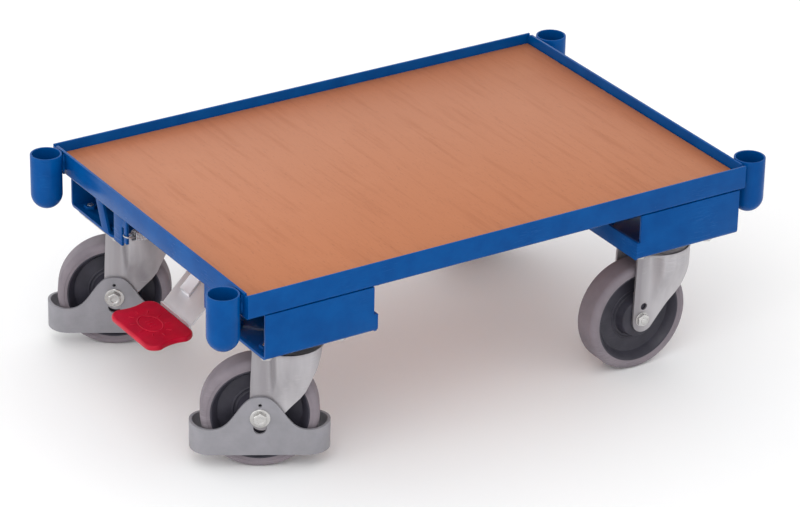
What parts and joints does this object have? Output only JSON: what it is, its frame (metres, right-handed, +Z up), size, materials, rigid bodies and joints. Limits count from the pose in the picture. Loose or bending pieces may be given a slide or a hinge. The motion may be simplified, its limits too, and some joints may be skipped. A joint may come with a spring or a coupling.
{
  "type": "flatbed platform truck",
  "caption": "Low platform truck with a lipped plywood deck, corner sockets, swivel casters with foot guards and a pedal brake, and fixed casters.",
  "frame": {"origin": "on the floor, under the middle of the deck", "axes": "+X along the truck towards the fixed casters, +Y across to the far side, +Z up"},
  "size_m": [0.8846, 0.5525, 0.3],
  "materials": {
    "blue_paint": "semi-gloss powder coat",
    "deck_ply": "smooth beech-look laminate",
    "zinc_steel": "bright zinc plate",
    "spring_wire": "bright drawn wire",
    "race_steel": "dark satin",
    "rim_plastic": "satin moulded",
    "bush_plastic": "satin moulded",
    "grey_tyre": "matt non-marking rubber",
    "guard_plastic": "satin moulded",
    "pedal_red": "semi-gloss moulded"
  },
  "bodies": {
    "frame": {"deck_board": "deck_ply", "brake_spring": "spring_wire", "mounting_bolts": "zinc_steel", "mounting_nuts": "blue_paint", "rail_near": "blue_paint", "rail_far": "blue_paint", "end_rail_left": "blue_paint", "end_rail_right": "blue_paint", "deck_bearers": "blue_paint", "brake_brackets": "blue_paint", "socket_near_left": "blue_paint", "console_near_left": "blue_paint", "top_plate_near_left": "zinc_steel", "socket_near_right": "blue_paint", "console_near_right": "blue_paint", "top_plate_near_right": "zinc_steel", "fork_near_right": "zinc_steel", "axle_bolt_near_right": "zinc_steel", "axle_sleeve_near_right": "zinc_steel", "ball_race_near": "race_steel", "kingpin_near": "zinc_steel", "socket_far_left": "blue_paint", "console_far_left": "blue_paint", "top_plate_far_left": "zinc_steel", "socket_far_right": "blue_paint", "console_far_right": "blue_paint", "top_plate_far_right": "zinc_steel", "fork_far_right": "zinc_steel", "axle_bolt_far_right": "zinc_steel", "axle_sleeve_far_right": "zinc_steel", "ball_race_far": "race_steel", "kingpin_far": "zinc_steel"},
    "brake_pedal": {"brake_shaft": "zinc_steel", "pedal_arm": "zinc_steel", "pedal_pad": "pedal_red", "brake_lever_near": "zinc_steel", "brake_lever_far": "zinc_steel"},
    "plunger_near": {"brake_plunger_near": "zinc_steel"},
    "swivel_near": {"fork_near_left": "zinc_steel", "axle_bolt_near_left": "zinc_steel", "axle_sleeve_near_left": "zinc_steel", "foot_guard_near": "guard_plastic"},
    "wheel_near_left": {"rim_near_left": "rim_plastic", "tyre_near_left": "grey_tyre", "hub_bush_near_left": "bush_plastic"},
    "wheel_near_right": {"rim_near_right": "rim_plastic", "tyre_near_right": "grey_tyre", "hub_bush_near_right": "bush_plastic"},
    "plunger_far": {"brake_plunger_far": "zinc_steel"},
    "swivel_far": {"fork_far_left": "zinc_steel", "axle_bolt_far_left": "zinc_steel", "axle_sleeve_far_left": "zinc_steel", "foot_guard_far": "guard_plastic"},
    "wheel_far_left": {"rim_far_left": "rim_plastic", "tyre_far_left": "grey_tyre", "hub_bush_far_left": "bush_plastic"},
    "wheel_far_right": {"rim_far_right": "rim_plastic", "tyre_far_right": "grey_tyre", "hub_bush_far_right": "bush_plastic"}
  },
  "joints": [
    {"name": "brake_pedal_hinge", "type": "hinge", "parent": "frame", "child": "brake_pedal", "pos_m": [-0.258, 0, 0.222], "axis": [0, -1, 0], "range_deg": [0, 5.5], "stiffness_Nm_per_rad": 4, "springref_deg": -34.38},
    {"name": "plunger_slide_near", "type": "slide", "parent": "frame", "child": "plunger_near", "axis": [0, 0, -1], "range_m": [0, 0.0038]},
    {"name": "caster_swivel_near", "type": "hinge", "parent": "frame", "child": "swivel_near", "pos_m": [-0.2975, -0.203, 0.19], "axis": [0, 0, 1], "continuous": true},
    {"name": "wheel_spin_near_left", "type": "hinge", "parent": "swivel_near", "child": "wheel_near_left", "pos_m": [-0.3293, -0.18508, 0.08], "axis": [0.4909, 0.8712, 0], "continuous": true},
    {"name": "wheel_spin_near_right", "type": "hinge", "parent": "frame", "child": "wheel_near_right", "pos_m": [0.261, -0.203, 0.08], "axis": [0, 1, 0], "continuous": true},
    {"name": "plunger_slide_far", "type": "slide", "parent": "frame", "child": "plunger_far", "axis": [0, 0, -1], "range_m": [0, 0.0038]},
    {"name": "caster_swivel_far", "type": "hinge", "parent": "frame", "child": "swivel_far", "pos_m": [-0.2975, 0.203, 0.19], "axis": [0, 0, 1], "continuous": true},
    {"name": "wheel_spin_far_left", "type": "hinge", "parent": "swivel_far", "child": "wheel_far_left", "pos_m": [-0.3293, 0.22092, 0.08], "axis": [0.4909, 0.8712, 0], "continuous": true},
    {"name": "wheel_spin_far_right", "type": "hinge", "parent": "frame", "child": "wheel_far_right", "pos_m": [0.261, 0.203, 0.08], "axis": [0, 1, 0], "continuous": true}
  ],
  "couplings": [
    {"joint": "plunger_slide_near", "follows": "brake_pedal_hinge", "m_per_rad": 0.0395},
    {"joint": "plunger_slide_far", "follows": "brake_pedal_hinge", "m_per_rad": 0.0395}
  ]
}
